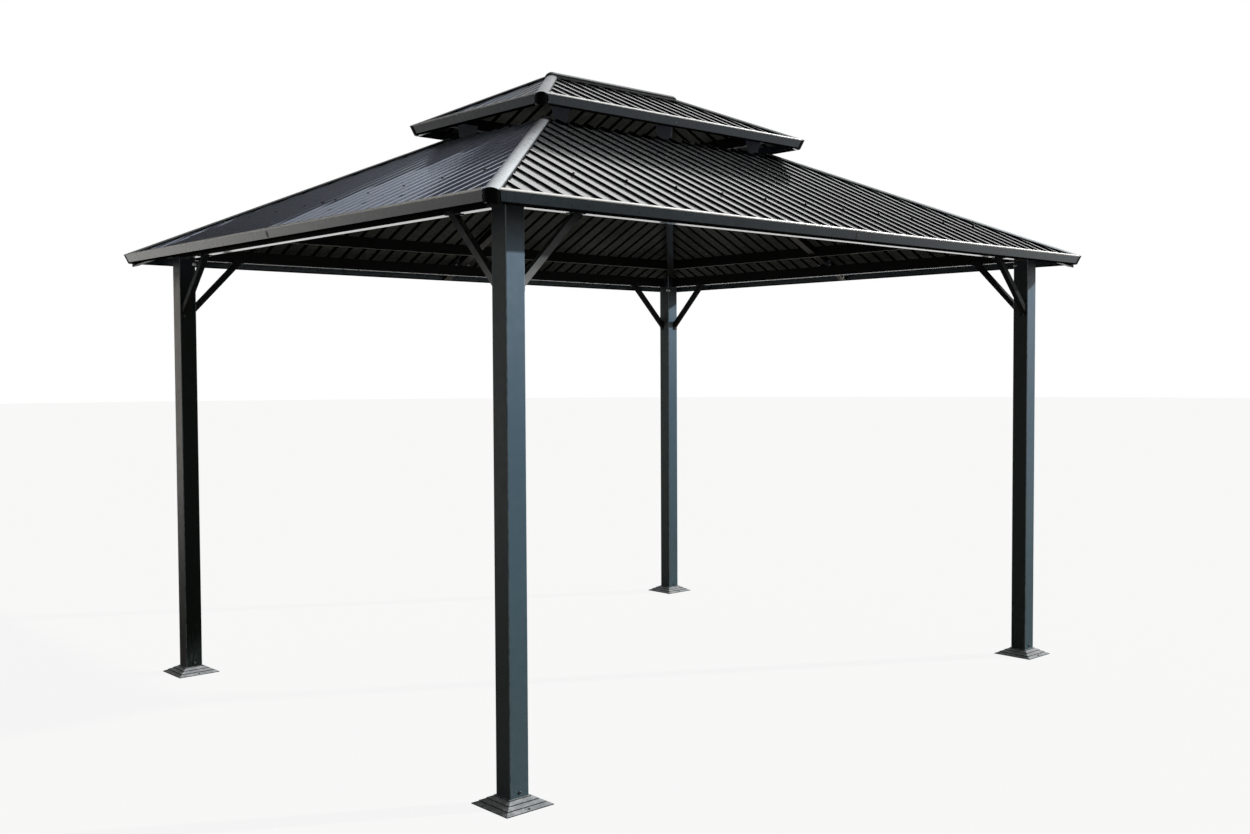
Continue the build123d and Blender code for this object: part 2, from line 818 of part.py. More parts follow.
def make_upper_hip_rafters():
    rafters = []
    for corner, (sign_x, sign_y) in CORNERS.items():
        plane = upper.hip_plane(corner)
        edge = upper_rafter_width / 2
        top = min(upper.hip_seat(corner, -edge), upper.hip_seat(corner, edge)) - seat_gap
        inset = slip_gap / 2
        wide = upper.half_x - upper_trim_depth - upper.top_x
        deep = upper.half_y - upper_trim_depth - inset
        with BuildPart() as rafter:
            with BuildSketch(plane):
                with Locations((0, top - upper_rafter_depth / 2)):
                    Rectangle(upper_rafter_width, upper_rafter_depth)
            extrude(amount=hypot(upper.half_x, upper.half_y) + upper.rise)
            with BuildSketch(Plane.XY):
                with Locations((sign_x * (upper.top_x + wide / 2), sign_y * (inset + deep / 2))):
                    Rectangle(wide, deep)
            extrude(amount=tall, mode=Mode.INTERSECT)
        rafters.append(rafter.part)
    return gather(rafters)


def make_ridge_beam():
    top = upper.under("front", upper.half_y - upper_rafter_width / 2) - seat_gap
    with BuildPart() as beam:
        with BuildSketch(Plane.YZ):
            with Locations((0, top - ridge_beam_height / 2)):
                Rectangle(upper_rafter_width, ridge_beam_height)
        extrude(amount=upper.top_x, both=True)
    return beam.part


def make_vent_struts():
    """Tapered upright plates on the vent frame that carry the upper ring."""
    half_x = main.top_x - upper_rafter_width - strut_top_width / 2
    plates = []
    for side in ("front", "back"):
        frame_top = main.under(side, main_run) - seat_gap
        plane = Plane(
            origin=main.inward(side) * -main.top_y,
            x_dir=main.along(side),
            z_dir=-main.inward(side),
        )
        for centre in (-half_x, 0, half_x):
            with BuildPart() as plate:
                with BuildSketch(plane):
                    with BuildLine():
                        foot, head = strut_foot_width / 2, strut_top_width / 2
                        low, high = frame_top - vent_bar_height, ring_bottom(side) + ring_bar_height / 2
                        Polyline(
                            (centre - foot, low),
                            (centre + foot, low),
                            (centre + head, high),
                            (centre - head, high),
                            close=True,
                        )
                    make_face()
                extrude(amount=-strut_thickness)
            plates.append(plate.part)
    return gather(plates)


# ---------------------------------------------------------------- the whole gazebo
os.makedirs("parts", exist_ok=True)
for corner in CORNERS:
    save(make_post(corner), f"post_{corner}")
    save(make_knee_braces(corner), f"knee_braces_{corner}")
    save(make_hip_rafter(corner), f"hip_rafter_{corner}")
    save(make_hip_cap(main, corner, eave_bottom, eave_trim_height, eave_trim_depth), f"hip_cap_{corner}")
for side in SIDES:
    save(make_beam(side), f"beam_{side}")
    start = trim_back(eave_trim_height, main_drop) + slip_gap
    save(make_panel(main, side, start, hip_joint), f"roof_panel_{side}")
    start = trim_back(upper_trim_height, upper_drop) + slip_gap
    save(make_panel(upper, side, start, hip_joint), f"upper_panel_{side}")
    save(make_trim(main, side, eave_bottom, eave_trim_height, eave_trim_depth, True), f"eave_trim_{side}")
save(make_base_covers(), "base_covers")
save(make_purlins(), "purlins")
save(make_side_rafters(), "side_rafters")
save(make_vent_frame(), "vent_frame")
save(make_vent_struts(), "vent_struts")
save(make_upper_ring(), "upper_ring")
save(make_upper_hip_rafters(), "upper_hip_rafters")
save(make_ridge_beam(), "ridge_beam")
upper_trims = [
    make_trim(upper, side, upper_eave_bottom, upper_trim_height, upper_trim_depth, False)
    for side in SIDES
]
save(gather(upper_trims), "upper_eave_trims")
save(make_upper_hip_caps(), "upper_hip_caps")
save(make_ridge_cap(), "ridge_cap")
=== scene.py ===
from math import cos, pi, radians, sin, tan

import bmesh
import bpy
from mathutils import Matrix, Vector


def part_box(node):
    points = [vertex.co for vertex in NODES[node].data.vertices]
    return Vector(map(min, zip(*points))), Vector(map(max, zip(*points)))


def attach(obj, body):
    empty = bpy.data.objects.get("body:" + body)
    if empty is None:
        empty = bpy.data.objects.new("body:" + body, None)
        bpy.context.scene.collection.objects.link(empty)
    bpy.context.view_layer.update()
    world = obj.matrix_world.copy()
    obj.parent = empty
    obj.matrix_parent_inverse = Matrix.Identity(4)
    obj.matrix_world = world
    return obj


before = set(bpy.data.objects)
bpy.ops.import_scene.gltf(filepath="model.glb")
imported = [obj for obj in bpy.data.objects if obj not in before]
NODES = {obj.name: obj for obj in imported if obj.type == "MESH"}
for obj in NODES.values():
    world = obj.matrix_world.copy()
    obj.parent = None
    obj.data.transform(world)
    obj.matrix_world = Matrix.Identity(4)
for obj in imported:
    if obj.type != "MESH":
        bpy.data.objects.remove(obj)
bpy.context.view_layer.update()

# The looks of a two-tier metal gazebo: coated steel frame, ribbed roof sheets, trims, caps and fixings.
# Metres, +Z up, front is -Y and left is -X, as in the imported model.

SIDES = {"front": 0, "right": 90, "back": 180, "left": 270}
CORNERS = {"front_left": (-1, -1), "front_right": (1, -1), "back_right": (1, 1), "back_left": (-1, 1)}
UP = Vector((0, 0, 1))


# ---------------------------------------------------------------- sizes of the gazebo
BEAM_LOW, BEAM_HIGH = (corner[2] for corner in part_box("beam_front"))
BETWEEN_TIERS = 2.2  # above the main trims, below the upper ones
TRIM_HEM = 0.005  # up from a trim's foot
TRIM_BEAD = 0.0083  # down from a trim's top
ROOF_PITCH = radians(25.6)
RIB_PITCH = 0.085
RIB_HEIGHT = 0.007
RIB_HALF = 0.0125
RIBS_EACH_WAY = 24  # more than fit on the longest eave
SHEET_THICKNESS = 0.001
SHEET_SEAM = RIB_PITCH  # the end sheets' lap, at the first rib from the middle
SADDLE_LENGTH = 0.05
TAB_THICKNESS = 0.003
RAFTER_HALF = 0.0235


# ---------------------------------------------------------------- sizes of the studio
CAMERA_PLACE = (-4.113, -4.573, 1.438)
CAMERA_YAW = radians(42.41)
CAMERA_PITCH = radians(-2.14)
CAMERA_ROLL = radians(-0.27)
CAMERA_LENS = 36.28
SENSOR_WIDTH = 36.0
KEY_FROM = (1.7, -1.0, 0.91)
KEY_STRENGTH = 4.2
KEY_ANGLE = radians(1.5)
KEY_SIDE = Vector((1.0, -1.0, 0.0)).normalized()  # where the ceiling stays white
FAR_SIDE = Vector((0.67, 0.74, 0.0))  # where the soft light is strongest
AMBIENT_NEAR, AMBIENT_FAR = 0.05, 0.45
CEILING_DARK = 0.03
WALL_TOP = radians(37)
CEILING_FROM = radians(60)
FLOOR_RADIUS = 60.0
FLOOR_DROP = 0.001
FLOOR_COLOUR = (0.51, 0.48, 0.43)
FLOOR_WHITE_SHARE = 0.9
FLOOR_DARK_TO, FLOOR_WHITE_FROM = 3.0, 11.0  # in reflections, by distance from the middle
FLAG_DARK = 0.03
BACK_FLAG = ((-7.0, 8.0, 2.6), (4.9, 8.0, 8.5))
SIDE_FLAG = ((-8.0, -9.0, 0.0), (-8.0, 13.0, 6.0))


def make_camera():
    """A camera that looks along yaw and pitch, rolled about its own axis."""
    forward = Vector(
        (cos(CAMERA_PITCH) * sin(CAMERA_YAW), cos(CAMERA_PITCH) * cos(CAMERA_YAW), sin(CAMERA_PITCH))
    )
    level = forward.cross(UP).normalized()
    upright = level.cross(forward)
    right = cos(CAMERA_ROLL) * level + sin(CAMERA_ROLL) * upright
    up = cos(CAMERA_ROLL) * upright - sin(CAMERA_ROLL) * level
    data = bpy.data.cameras.new("camera")
    data.lens = CAMERA_LENS
    data.sensor_width = SENSOR_WIDTH
    data.clip_end = 200.0
    camera = bpy.data.objects.new("camera", data)
    turn = Matrix((right, up, -forward)).transposed().to_4x4()
    camera.matrix_world = Matrix.Translation(CAMERA_PLACE) @ turn
    bpy.context.scene.collection.objects.link(camera)
    bpy.context.scene.camera = camera


class Tree:
    """Short names for the shader nodes that the materials and the world are made from."""

    def __init__(self, tree):
        self.tree = tree

    def add(self, kind, **settings):
        node = self.tree.nodes.new(kind)
        for name, value in settings.items():
            setattr(node, name, value)
        return node

    def link(self, source, target):
        """Set a socket to a number or a colour, or join it to another node's output."""
        if isinstance(source, (int, float)):
            target.default_value = source
        elif isinstance(source, (tuple, list)):
            target.default_value = (*source, 1) if len(target.default_value) > len(source) else source
        else:
            self.tree.links.new(source, target)

    def math(self, operation, first, second=0.0):
        node = self.add("ShaderNodeMath", operation=operation)
        self.link(first, node.inputs[0])
        self.link(second, node.inputs[1])
        return node.outputs[0]

    def both(self, first, second):
        return self.math("MULTIPLY", first, second)

    def either(self, first, second):
        return self.math("MAXIMUM", first, second)

    def ramp(self, value, low, high, start=0.0, stop=1.0, smooth=True):
        """start where value is low, stop where it is high, blended between."""
        node = self.add("ShaderNodeMapRange")
        if smooth:
            node.interpolation_type = "SMOOTHSTEP"
        self.link(value, node.inputs["Value"])
        self.link(low, node.inputs["From Min"])
        self.link(high, node.inputs["From Max"])
        self.link(start, node.inputs["To Min"])
        self.link(stop, node.inputs["To Max"])
        return node.outputs["Result"]

    def blend(self, share, first, second):
        """Between two numbers: first where share is 0, second where it is 1."""
        return self.ramp(share, 0.0, 1.0, first, second, smooth=False)

    def mix(self, share, first, second):
        """Between two colours: first where share is 0, second where it is 1."""
        node = self.add("ShaderNodeMix", data_type="RGBA")
        self.link(share, node.inputs["Factor"])
        self.link(first, node.inputs["A"])
        self.link(second, node.inputs["B"])
        return node.outputs["Result"]

    def place(self):
        """Object coordinates, which are the model's own frame in metres."""
        return self.add("ShaderNodeTexCoord").outputs["Object"]

    def parts(self, vector):
        node = self.add("ShaderNodeSeparateXYZ")
        self.link(vector, node.inputs[0])
        return node.outputs

    def dot(self, vector, way):
        node = self.add("ShaderNodeVectorMath", operation="DOT_PRODUCT")
        self.link(vector, node.inputs[0])
        node.inputs[1].default_value = way
        return node.outputs["Value"]

    def stretch(self, vector, scale):
        node = self.add("ShaderNodeMapping")
        self.link(vector, node.inputs["Vector"])
        node.inputs["Scale"].default_value = scale
        return node.outputs["Vector"]

    def noise(self, vector, scale, detail=3.0, roughness=0.55):
        node = self.add("ShaderNodeTexNoise")
        self.link(vector, node.inputs["Vector"])
        node.inputs["Scale"].default_value = scale
        node.inputs["Detail"].default_value = detail
        node.inputs["Roughness"].default_value = roughness
        return node.outputs["Fac"]


def seen_mask(tree):
    """1 for rays that show the background: camera, glossy and transmission rays."""
    path = tree.add("ShaderNodeLightPath").outputs
    return tree.either(tree.either(path["Is Camera Ray"], path["Is Glossy Ray"]), path["Is Transmission Ray"])


def make_world():
    """White walls all round under a ceiling that is dark away from the key; softer for diffuse rays."""
    world = bpy.data.worlds.new("studio")
    bpy.context.scene.world = world
    world.use_nodes = True
    tree = Tree(world.node_tree)
    background = world.node_tree.nodes["Background"]
    background.inputs["Color"].default_value = (1, 1, 1, 1)
    way = tree.add("ShaderNodeTexCoord").outputs["Generated"]
    height = tree.parts(way)["Z"]
    ceiling = tree.ramp(tree.dot(way, KEY_SIDE), -0.15, 0.3, CEILING_DARK, 1.0)
    seen = tree.blend(tree.ramp(height, sin(WALL_TOP), sin(CEILING_FROM)), 1.0, ceiling)
    soft = tree.ramp(tree.dot(way, FAR_SIDE), -0.4, 0.8, AMBIENT_NEAR, AMBIENT_FAR)
    tree.link(tree.blend(seen_mask(tree), soft, seen), background.inputs["Strength"])


def make_key():
    """One low lamp from the front right, as the photo's sun."""
    data = bpy.data.lights.new("key", "SUN")
    data.energy = KEY_STRENGTH
    data.angle = KEY_ANGLE
    key = bpy.data.objects.new("key", data)
    key.rotation_mode = "QUATERNION"
    key.rotation_quaternion = Vector(KEY_FROM).to_track_quat("Z", "Y")
    bpy.context.scene.collection.objects.link(key)


def stage_piece(name, shape):
    """A mesh that belongs to the studio and not to the gazebo."""
    mesh = bpy.data.meshes.new(name)
    shape.to_mesh(mesh)
    shape.free()
    piece = bpy.data.objects.new(name, mesh)
    bpy.context.scene.collection.objects.link(piece)
    material = bpy.data.materials.new(name)
    material.use_nodes = True
    material.node_tree.nodes.clear()
    mesh.materials.append(material)
    return piece, Tree(material.node_tree)


def make_floor():
    """A pale disc that keeps a soft shadow and is otherwise as white as the background."""
    shape = bmesh.new()
    bmesh.ops.create_circle(shape, cap_ends=True, radius=FLOOR_RADIUS, segments=96)
    floor, tree = stage_piece("floor", shape)
    floor.location.z = -FLOOR_DROP
    diffuse = tree.add("ShaderNodeBsdfDiffuse")
    tree.link(FLOOR_COLOUR, diffuse.inputs["Color"])
    glow = tree.add("ShaderNodeEmission")
    length = tree.add("ShaderNodeVectorMath", operation="LENGTH")
    tree.link(tree.place(), length.inputs[0])
    white = tree.ramp(length.outputs["Value"], FLOOR_DARK_TO, FLOOR_WHITE_FROM)
    camera = tree.add("ShaderNodeLightPath").outputs["Is Camera Ray"]
    tree.link(tree.either(white, camera), glow.inputs["Strength"])
    mix = tree.add("ShaderNodeMixShader")
    output = tree.add("ShaderNodeOutputMaterial")
    tree.link(tree.both(seen_mask(tree), FLOOR_WHITE_SHARE), mix.inputs["Fac"])
    tree.link(diffuse.outputs[0], mix.inputs[1])
    tree.link(glow.outputs[0], mix.inputs[2])
    tree.link(mix.outputs[0], output.inputs["Surface"])


def make_flag(name, start, stop, axis, dark_to, tint):
    """An upright board, start to stop, that only shows in glossy coats and fades to light along one axis."""
    shape = bmesh.new()
    corners = [(*start[:2], start[2]), (*stop[:2], start[2]), (*stop[:2], stop[2]), (*start[:2], stop[2])]
    shape.faces.new([shape.verts.new(corner) for corner in corners])
    flag, tree = stage_piece(name, shape)
    flag.visible_camera = False
    flag.visible_diffuse = False
    flag.visible_shadow = False
    flag.visible_transmission = False
    glow = tree.add("ShaderNodeEmission")
    tree.link(tint, glow.inputs["Color"])
    light_from = stop["XYZ".index(axis)]
    fade = tree.ramp(tree.parts(tree.place())[axis], dark_to, light_from, FLAG_DARK, 1.0)
    tree.link(fade, glow.inputs["Strength"])
    tree.link(glow.outputs[0], tree.add("ShaderNodeOutputMaterial").inputs["Surface"])


def make_flags():
    """One board behind, for the left slopes, and one on the left, for the shaded sides of the posts."""
    make_flag("back_flag", *BACK_FLAG, "X", dark_to=0.0, tint=(0.8, 0.87, 1.0))
    make_flag("side_flag", *SIDE_FLAG, "Y", dark_to=1.0, tint=(1.0, 1.0, 1.0))


# ---------------------------------------------------------------- materials
class Coat:
    """A baked powder coat: fine orange peel, faint cloudy tone, dust that settles on what faces up."""

    def __init__(self, name, roughness, peel=0.12, grain=900.0):
        self.material = bpy.data.materials.new(name)
        self.material.use_nodes = True
        self.shader = self.material.node_tree.nodes["Principled BSDF"]
        self.tree = Tree(self.material.node_tree)
        self.at = self.tree.place()
        self.place = self.tree.parts(self.at)
        self.normal = self.tree.parts(self.tree.add("ShaderNodeNewGeometry").outputs["True Normal"])
        self.cloud = self.tree.noise(self.at, 3.1, 4.0)
        self.mottle = self.tree.noise(self.at, 38.0)
        low, high = roughness
        self.set("Roughness", self.tree.ramp(self.mottle, 0.3, 0.7, low, high))
        bump = self.tree.add("ShaderNodeBump")
        bump.inputs["Strength"].default_value = peel
        bump.inputs["Distance"].default_value = 0.0006
        self.tree.link(self.tree.noise(self.at, grain, 2.0), bump.inputs["Height"])
        self.set("Normal", bump.outputs[0])

    def set(self, name, value):
        self.tree.link(value, self.shader.inputs[name])

    def tone(self, colour, spread=0.18):
        """The colour with a slow, cloudy change of lightness."""
        deep = [c * (1 - spread) for c in colour]
        pale = [c * (1 + spread) for c in colour]
        return self.tree.mix(self.tree.ramp(self.cloud, 0.3, 0.7), deep, pale)

    def facing(self, axis, low, high):
        """0 to 1 as the surface turns towards an axis of the model, such as Z."""
        return self.tree.ramp(self.normal[axis], low, high)

    def dust(self, colour, amount, pale=(0.42, 0.41, 0.38), least=0.2):
        """Patchy dust on faces that look up."""
        up = self.facing("Z", 0.55, 0.95)
        patch = self.tree.ramp(self.mottle, 0.35, 0.75, least, 1.0)
        return self.tree.mix(self.tree.both(self.tree.both(up, patch), amount), colour, pale)


def post_coat(name, painted_left_face, painted_front_shade=None):
    """Charcoal blue, paler with height as painted light, dark under the roof as painted shade, scuffed at the
    foot, with a patchy painted highlight on its edges.

    The face that looks left takes the given colours at its foot and at its top: painted shade on most posts,
    painted light on the back left post. A front that lies in the shade takes the given colour as painted
    shade, where one is given.
    """
    coat = Coat(name, (0.3, 0.46))
    tree, height = coat.tree, coat.place["Z"]
    # Painted light: paler with height, and palest up top on the faces that don't look left.
    low = tree.mix(tree.ramp(height, 0.1, 1.2), (0.055, 0.09, 0.105), (0.057, 0.104, 0.14))
    high = tree.both(tree.ramp(height, 1.1, 1.9), coat.facing("X", -0.8, -0.3))
    colour = tree.mix(high, low, (0.108, 0.165, 0.22))
    # Painted shade on the face that looks left; painted light on it for the back left post.
    left = tree.mix(tree.ramp(height, 0.3, 1.7), *painted_left_face)
    colour = tree.mix(coat.facing("X", -0.3, -0.8), colour, left)
    specular = 0.2
    # Painted shade, darker and less glossy, on a front that lies in the shade.
    if painted_front_shade:
        front = coat.facing("Y", -0.3, -0.8)
        colour = tree.mix(front, colour, painted_front_shade)
        specular = tree.blend(front, specular, 0.04)

    fine = tree.noise(tree.stretch(coat.at, (40, 40, 3)), 9.0, 4.0)
    scuff = tree.both(tree.ramp(fine, 0.58, 0.8), tree.ramp(height, 0.5, 0.04, 0.0, 0.35))
    colour = tree.mix(scuff, colour, (0.3, 0.29, 0.27))
    # Painted shade under the roof: dark towards the post's top.
    colour = tree.mix(tree.ramp(height, BEAM_LOW - 0.17, BEAM_LOW - 0.03), colour, (0.02, 0.024, 0.03))
    # Painted highlight, patchy, along the rounded edges.
    turn = tree.math("ABSOLUTE", tree.both(coat.normal["X"], coat.normal["Y"]))
    edge_highlight = tree.ramp(coat.mottle, 0.3, 0.6, 0.4, 0.9)
    colour = tree.mix(tree.both(tree.ramp(turn, 0.15, 0.4), edge_highlight), colour, (0.22, 0.27, 0.31))
    coat.set("Base Color", coat.dust(colour, 0.4))
    coat.set("Specular IOR Level", specular)
    return coat.material


def frame_coat(name, painted_underside_reflection, gloss=1.0):
    """Near black; undersides are a little paler as a painted reflection of the ground, and have a smooth
    clear coat that catches the ground.
    """
    coat = Coat(name, (0.28, 0.42))
    down = coat.facing("Z", -0.84, -0.9)
    # Painted reflection: the undersides are paler, as the ground they catch.
    colour = coat.tree.mix(down, coat.tone((0.0065, 0.0065, 0.0065)), coat.tone(painted_underside_reflection))
    coat.set("Base Color", coat.dust(colour, 0.25))
    coat.set("Specular IOR Level", coat.tree.blend(down, 0.06, gloss))
    coat.set("Coat Weight", coat.tree.blend(down, 0.0, gloss))
    coat.set("Coat Roughness", 0.12)
    coat.set("Coat IOR", 2.3)
    return coat.material


def plate_coat():
    """Grey bracket plates, in the vent and at the middle rafters."""
    coat = Coat("plate_coat", (0.35, 0.5))
    coat.set("Base Color", coat.dust(coat.tone((0.085, 0.095, 0.12)), 0.3))
    coat.set("Specular IOR Level", 0.2)
    return coat.material


def roof_coat(name, across, rib_at, tones_and_reflections, painted_flank, sheens):
    """Glossy coil coat on pans and rib tops; matt rib flanks, painted shade on most sheets and painted
    sunlight on the left ones; primer below with painted shade in the grooves.

    across is the axis along the eave, rib_at the ribs' place in pitches; the sheet colours and the sheens
    have one value for the sheet before the seam and one for the sheet behind it. On the left sheets the sheet
    colours are a painted reflection.
    """
    coat = Coat(name, (0.2, 0.3), peel=0.06)
    tree = coat.tree
    share = tree.math("FRACT", tree.math("ADD", tree.math("DIVIDE", coat.place[across], RIB_PITCH), rib_at))
    # Painted shade: the grooves are near black on the underside.
    groove_shade = tree.ramp(tree.math("ABSOLUTE", tree.math("SUBTRACT", share, 0.5)), 0.11, 0.16, 1.0, 0.0)
    below = tree.mix(groove_shade, coat.tone((0.045, 0.048, 0.046), 0.3), (0.002, 0.002, 0.002))
    # On the left sheets these colours are a painted reflection, paler before the seam.
    first, second = (coat.tone(colour, 0.12) for colour in tones_and_reflections)
    behind = tree.math("GREATER_THAN", coat.place["Y"], SHEET_SEAM)
    # The rib flanks take the given colour: painted shade on most sheets, painted sunlight on the left ones.
    above = tree.mix(coat.facing("Z", 0.76, 0.66), tree.mix(behind, first, second), painted_flank)
    coat.set("Base Color", coat.dust(tree.mix(coat.facing("Z", -0.1, 0.1), below, above), 0.06))
    top = coat.facing("Z", 0.66, 0.78)
    sheen = tree.blend(behind, *sheens)
    coat.set("Specular IOR Level", tree.blend(top, 0.04, sheen))
    coat.set("Coat Weight", tree.both(top, sheen))
    coat.set("Coat Roughness", 0.09)
    coat.set("Coat IOR", 2.4)
    return coat.material


def trim_coat(name, base, far_painted_reflection, gloss):
    """Charcoal fascia with a pale bead on top; hem and inside matt black. Where a far colour is given, as on
    the left trim, a painted reflection pales it towards the back.
    """
    coat = Coat(name, (0.26, 0.36))
    tree, height = coat.tree, coat.place["Z"]
    (main_low, main_high), (upper_low, upper_high) = (
        [corner[2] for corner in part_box(node)] for node in ("eave_trim_front", "upper_eave_trims")
    )
    upper = tree.math("GREATER_THAN", height, BETWEEN_TIERS)
    bead_from = tree.blend(upper, main_high - TRIM_BEAD, upper_high - TRIM_BEAD)
    hem_to = tree.blend(upper, main_low + TRIM_HEM, upper_low + TRIM_HEM)
    # Painted reflection: on the left trim the colour pales towards the back.
    far = tree.ramp(coat.place["Y"], -0.9, 1.5)
    face = tree.mix(far, coat.tone(base), coat.tone(far_painted_reflection))
    bead = tree.math("GREATER_THAN", height, bead_from)
    colour = tree.mix(bead, face, coat.tone((0.8, 0.8, 0.78), 0.08))
    matt = tree.either(tree.math("LESS_THAN", height, hem_to), coat.facing("Z", -0.3, -0.6))
    coat.set("Base Color", coat.dust(tree.mix(matt, colour, (0.003, 0.003, 0.003)), 0.1))
    coat.set("Specular IOR Level", tree.blend(matt, 0.4, 0.0))
    coat.set("Coat Weight", tree.blend(matt, gloss, 0.0))
    coat.set("Coat Roughness", 0.2)
    return coat.material


def brace_coat(name, foot, specular):
    """Near black tube with painted shade over its upper part and on the faces that look up; on the way down
    it turns to the colour of its foot, which on the front left brace is painted sunlight.
    """
    coat = Coat(name, (0.3, 0.45))
    tree = coat.tree
    # Painted shade from the eave: near black over the upper part.
    dark = tree.ramp(coat.place["Z"], BEAM_LOW - 0.28, BEAM_LOW - 0.11)
    colour = tree.mix(dark, foot, (0.01, 0.013, 0.013))
    # Painted shade on the faces that look up.
    colour = tree.mix(coat.facing("Z", 0.1, 0.4), colour, (0.01, 0.01, 0.01))
    coat.set("Base Color", coat.dust(colour, 0.2))
    coat.set("Specular IOR Level", specular)
    return coat.material


def cap_coat():
    """Pale grey-blue painted sky light where the cap faces up, paler low down; near black painted shade on
    the upright corner pieces.
    """
    coat = Coat("cap_coat", (0.26, 0.4))
    tree = coat.tree
    # Painted sky light on the faces that look up, paler low down; painted shade on the uprights.
    up = coat.facing("Z", 0.55, 0.7)
    pale = tree.mix(tree.ramp(coat.place["Z"], 1.98, 2.5), (0.7, 0.76, 0.79), (0.2, 0.215, 0.23))
    cloudy = tree.mix(tree.ramp(coat.cloud, 0.3, 0.7, 0.0, 0.16), pale, (0.0, 0.0, 0.0))
    coat.set("Base Color", coat.dust(tree.mix(up, (0.004, 0.004, 0.004), cloudy), 0.15))
    coat.set("Specular IOR Level", tree.blend(up, 0.03, 0.6))
    return coat.material


def cover_coat():
    """Charcoal base covers under a film of dried dust and splashed soil."""
    coat = Coat("cover_coat", (0.38, 0.6), peel=0.3, grain=500.0)
    coat.set("Base Color", coat.dust(coat.tone((0.03, 0.036, 0.04)), 1.0, (0.52, 0.54, 0.55), 0.6))
    coat.set("Specular IOR Level", 0.2)
    return coat.material


def screw_coat():
    """Painted fixings with a little dust."""
    coat = Coat("screw_coat", (0.3, 0.5))
    coat.set("Base Color", coat.dust(coat.tone((0.02, 0.022, 0.024), 0.3), 0.3))
    return coat.material


def zinc():
    """Bright plated fixings with a mottled sheen."""
    coat = Coat("zinc", (0.22, 0.42), peel=0.2)
    coat.set("Base Color", coat.tone((0.68, 0.68, 0.66), 0.15))
    coat.set("Metallic", 0.85)
    return coat.material


def hook_plastic():
    """White plastic, faintly cloudy."""
    coat = Coat("hook_plastic", (0.35, 0.5))
    coat.set("Base Color", coat.tone((0.78, 0.78, 0.76), 0.06))
    return coat.material


# Painted shade on the faces of the posts that look left; painted light on the back left post's, at its foot
# and top.
PAINTED_SIDE_SHADE, PAINTED_SIDE_DEEP_SHADE = (0.05, 0.067, 0.07), (0.025, 0.034, 0.033)
PAINTED_SIDE_LIGHT_LOW, PAINTED_SIDE_LIGHT = (0.09, 0.09, 0.085), (0.42, 0.4, 0.365)
# The second colour is painted shade on the rib flanks.
SHEET, FLANK_PAINTED_SHADE = (0.085, 0.09, 0.095), (0.006, 0.006, 0.007)
# Painted reflection on the left sheets, paler before the seam than behind it.
LEFT_SHEET_PAINTED_REFLECTION, LEFT_FAR_SHEET_PAINTED_REFLECTION = (0.26, 0.32, 0.47), (0.06, 0.066, 0.095)
# Painted reflection on the upper left sheet; the second colour is painted sunlight on the left sheets' rib
# flanks.
UPPER_LEFT_SHEET_PAINTED_REFLECTION, LEFT_FLANK_PAINTED_LIGHT = (0.24, 0.28, 0.36), (0.3, 0.33, 0.4)
TRIM, UPPER_TRIM = (0.013, 0.022, 0.029), (0.008, 0.015, 0.022)
# The left trim's second colour is a painted reflection at its far end.
LEFT_TRIM, LEFT_FAR_TRIM_PAINTED_REFLECTION = (0.012, 0.016, 0.015), (0.2, 0.2, 0.175)
PAINTED, PLATED, PLATE = screw_coat(), zinc(), plate_coat()
FINISHES = {
    "post": post_coat("post_coat", (PAINTED_SIDE_SHADE, PAINTED_SIDE_SHADE)),
    "post_front_right": post_coat("right_post_coat", (PAINTED_SIDE_DEEP_SHADE, PAINTED_SIDE_DEEP_SHADE)),
    # The back left post: painted light on the face that looks left, painted shade on its front.
    "post_back_left": post_coat("left_post_coat", (PAINTED_SIDE_LIGHT_LOW, PAINTED_SIDE_LIGHT), (0.012, 0.017, 0.015)),
    "knee_braces": brace_coat("brace_coat", (0.012, 0.012, 0.012), 0.05),
    # Painted sunlight towards the foot of the front left brace.
    "knee_braces_front_left": brace_coat("near_brace_coat", (0.17, 0.175, 0.175), 0.3),
    "roof_panel": roof_coat("roof_coat", "X", 0.0, (SHEET, SHEET), FLANK_PAINTED_SHADE, (1.0, 1.0)),
    "roof_panel_right": roof_coat("right_roof_coat", "Y", 0.5, (SHEET, SHEET), FLANK_PAINTED_SHADE, (1.0, 1.0)),
    "roof_panel_left": roof_coat(
        "left_roof_coat", "Y", 0.5, (LEFT_SHEET_PAINTED_REFLECTION, LEFT_FAR_SHEET_PAINTED_REFLECTION), LEFT_FLANK_PAINTED_LIGHT, (1.0, 0.25)
    ),
    "upper_panel_left": roof_coat(
        "upper_left_roof_coat", "Y", 0.5, (UPPER_LEFT_SHEET_PAINTED_REFLECTION, UPPER_LEFT_SHEET_PAINTED_REFLECTION), LEFT_FLANK_PAINTED_LIGHT, (1.0, 1.0)
    ),
    "eave_trim": trim_coat("trim_coat", TRIM, TRIM, 0.35),
    "eave_trim_left": trim_coat("left_trim_coat", LEFT_TRIM, LEFT_FAR_TRIM_PAINTED_REFLECTION, 0.9),
    "upper_eave_trims": trim_coat("upper_trim_coat", UPPER_TRIM, UPPER_TRIM, 0.1),
    "hip_cap": cap_coat(),
    "base_covers": cover_coat(),
    "vent_struts": PLATE,
    "purlins": frame_coat("purlin_coat", (0.42, 0.42, 0.4)),
    "hip_rafter": frame_coat("rafter_coat", (0.02, 0.021, 0.019), 0.3),
    "": frame_coat("frame_coat", (0.06, 0.06, 0.058)),
}
FINISHES["upper_panel"] = FINISHES["roof_panel"]
FINISHES["upper_panel_right"] = FINISHES["roof_panel_right"]
FINISHES["upper_hip_caps"] = FINISHES["hip_cap"]
FINISHES["ridge_cap"] = FINISHES["hip_cap"]


